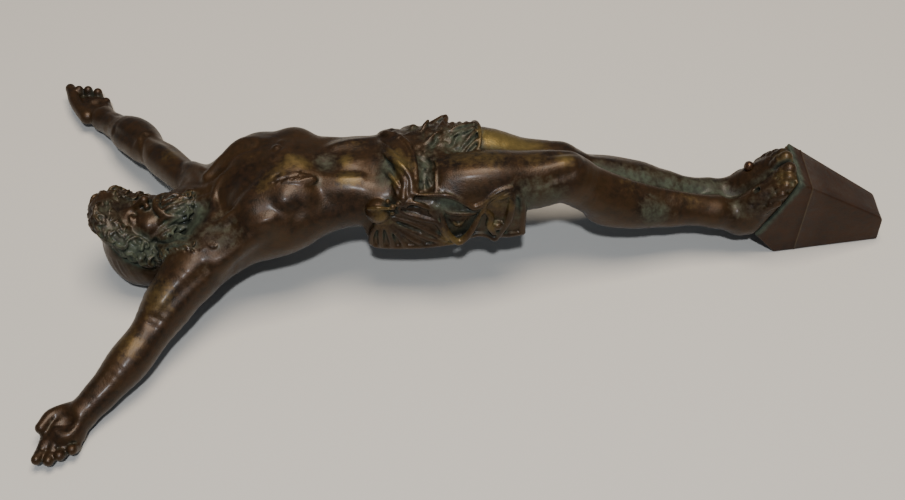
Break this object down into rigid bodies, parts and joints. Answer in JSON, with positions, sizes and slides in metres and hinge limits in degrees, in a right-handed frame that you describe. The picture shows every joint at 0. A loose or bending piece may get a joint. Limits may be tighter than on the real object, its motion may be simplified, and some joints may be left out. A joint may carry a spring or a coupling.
{
  "type": "crucifix corpus figure",
  "caption": "Cast corpus for a crucifix: a figure with raised arms and a knotted loincloth, standing on a wedge-shaped foot block with a flat back.",
  "frame": {"origin": "middle of the foot block's flat back, which lies in the plane of the cross", "axes": "+X from the head to the feet, +Y to the figure's own left, +Z out of the chest, away from the cross"},
  "size_m": [0.3651, 0.2074, 0.0617],
  "materials": {
    "figure_bronze": "brown patinated bronze, rubbed on the high places, green in the hollows",
    "block_bronze": "red-brown patinated bronze, satin",
    "nail_bronze": "red-brown patinated bronze, satin"
  },
  "bodies": {
    "root": {"corpus_figure": "figure_bronze", "foot_block": "block_bronze", "foot_nail": "nail_bronze"}
  },
  "joints": []
}
